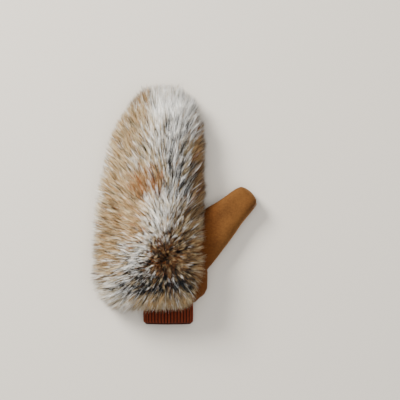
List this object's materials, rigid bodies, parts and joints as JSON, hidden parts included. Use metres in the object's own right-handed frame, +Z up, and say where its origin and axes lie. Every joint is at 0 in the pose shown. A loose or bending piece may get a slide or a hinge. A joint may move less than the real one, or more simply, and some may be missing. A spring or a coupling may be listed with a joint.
{
  "type": "fur mitten",
  "caption": "Left-hand mitten lying palm down: deep-pile fur back, suede palm, separate suede thumb and a ribbed knit cuff round the open wrist.",
  "frame": {"origin": "on the palm's flat resting face, under the middle of the hand", "axes": "+Y from the wrist to the fingertips, along the longest extent; +X towards the thumb; +Z up through the back of the hand"},
  "size_m": [0.2136, 0.3111, 0.0679],
  "materials": {
    "fur": "deep pile of banded grey, cream and tan hairs",
    "suede": "tan suede with a fine nap",
    "knit": "rust-brown rib knit"
  },
  "bodies": {
    "root": {"fur_back": "fur", "palm": "suede", "thumb": "suede", "knit_cuff": "knit"}
  },
  "joints": []
}
